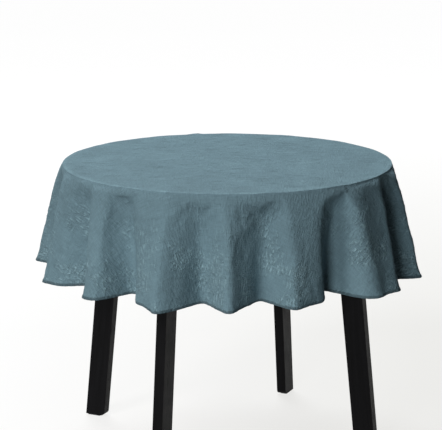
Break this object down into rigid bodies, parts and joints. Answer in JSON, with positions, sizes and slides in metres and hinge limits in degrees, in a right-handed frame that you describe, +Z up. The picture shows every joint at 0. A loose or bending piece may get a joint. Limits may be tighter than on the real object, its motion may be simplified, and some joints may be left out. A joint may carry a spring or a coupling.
{
  "type": "tablecloth on round table",
  "caption": "Round linen tablecloth draped in soft folds over a round table on splayed rectangular legs, with crossed rails bolted to the legs under the top.",
  "frame": {"origin": "on the floor, under the middle of the table", "axes": "+Z up; the legs stand on the diagonals of X and Y; -Y is the front"},
  "size_m": [0.9847, 0.959, 0.7495],
  "materials": {
    "linen_cloth": "washed plain-weave linen, matte, petrol blue with slubs and soft creases",
    "black_wood": "black stained and satin lacquered, fine grain just showing",
    "zinc_steel": "bright zinc plate",
    "grey_felt": "pressed dark grey felt"
  },
  "bodies": {
    "table": {"tabletop": "black_wood", "rail_upper": "black_wood", "rail_lower": "black_wood", "leg_front_right": "black_wood", "leg_rear_right": "black_wood", "leg_rear_left": "black_wood", "leg_front_left": "black_wood", "glide_front_right": "grey_felt", "glide_rear_right": "grey_felt", "glide_rear_left": "grey_felt", "glide_front_left": "grey_felt", "bolt_front_right_upper": "zinc_steel", "cross_nut_front_right_upper": "zinc_steel", "bolt_front_right_lower": "zinc_steel", "cross_nut_front_right_lower": "zinc_steel", "bolt_rear_right_upper": "zinc_steel", "cross_nut_rear_right_upper": "zinc_steel", "bolt_rear_right_lower": "zinc_steel", "cross_nut_rear_right_lower": "zinc_steel", "bolt_rear_left_upper": "zinc_steel", "cross_nut_rear_left_upper": "zinc_steel", "bolt_rear_left_lower": "zinc_steel", "cross_nut_rear_left_lower": "zinc_steel", "bolt_front_left_upper": "zinc_steel", "cross_nut_front_left_upper": "zinc_steel", "bolt_front_left_lower": "zinc_steel", "cross_nut_front_left_lower": "zinc_steel", "top_screw_front_right_1": "zinc_steel", "top_screw_front_right_2": "zinc_steel", "top_screw_rear_right_1": "zinc_steel", "top_screw_rear_right_2": "zinc_steel", "top_screw_rear_left_1": "zinc_steel", "top_screw_rear_left_2": "zinc_steel", "top_screw_front_left_1": "zinc_steel", "top_screw_front_left_2": "zinc_steel"},
    "tablecloth": {"tablecloth": "linen_cloth"}
  },
  "joints": [
    {"name": "cloth_lift", "type": "slide", "parent": "table", "child": "tablecloth", "axis": [0, 0, 1], "range_m": [0, 0.32]}
  ]
}
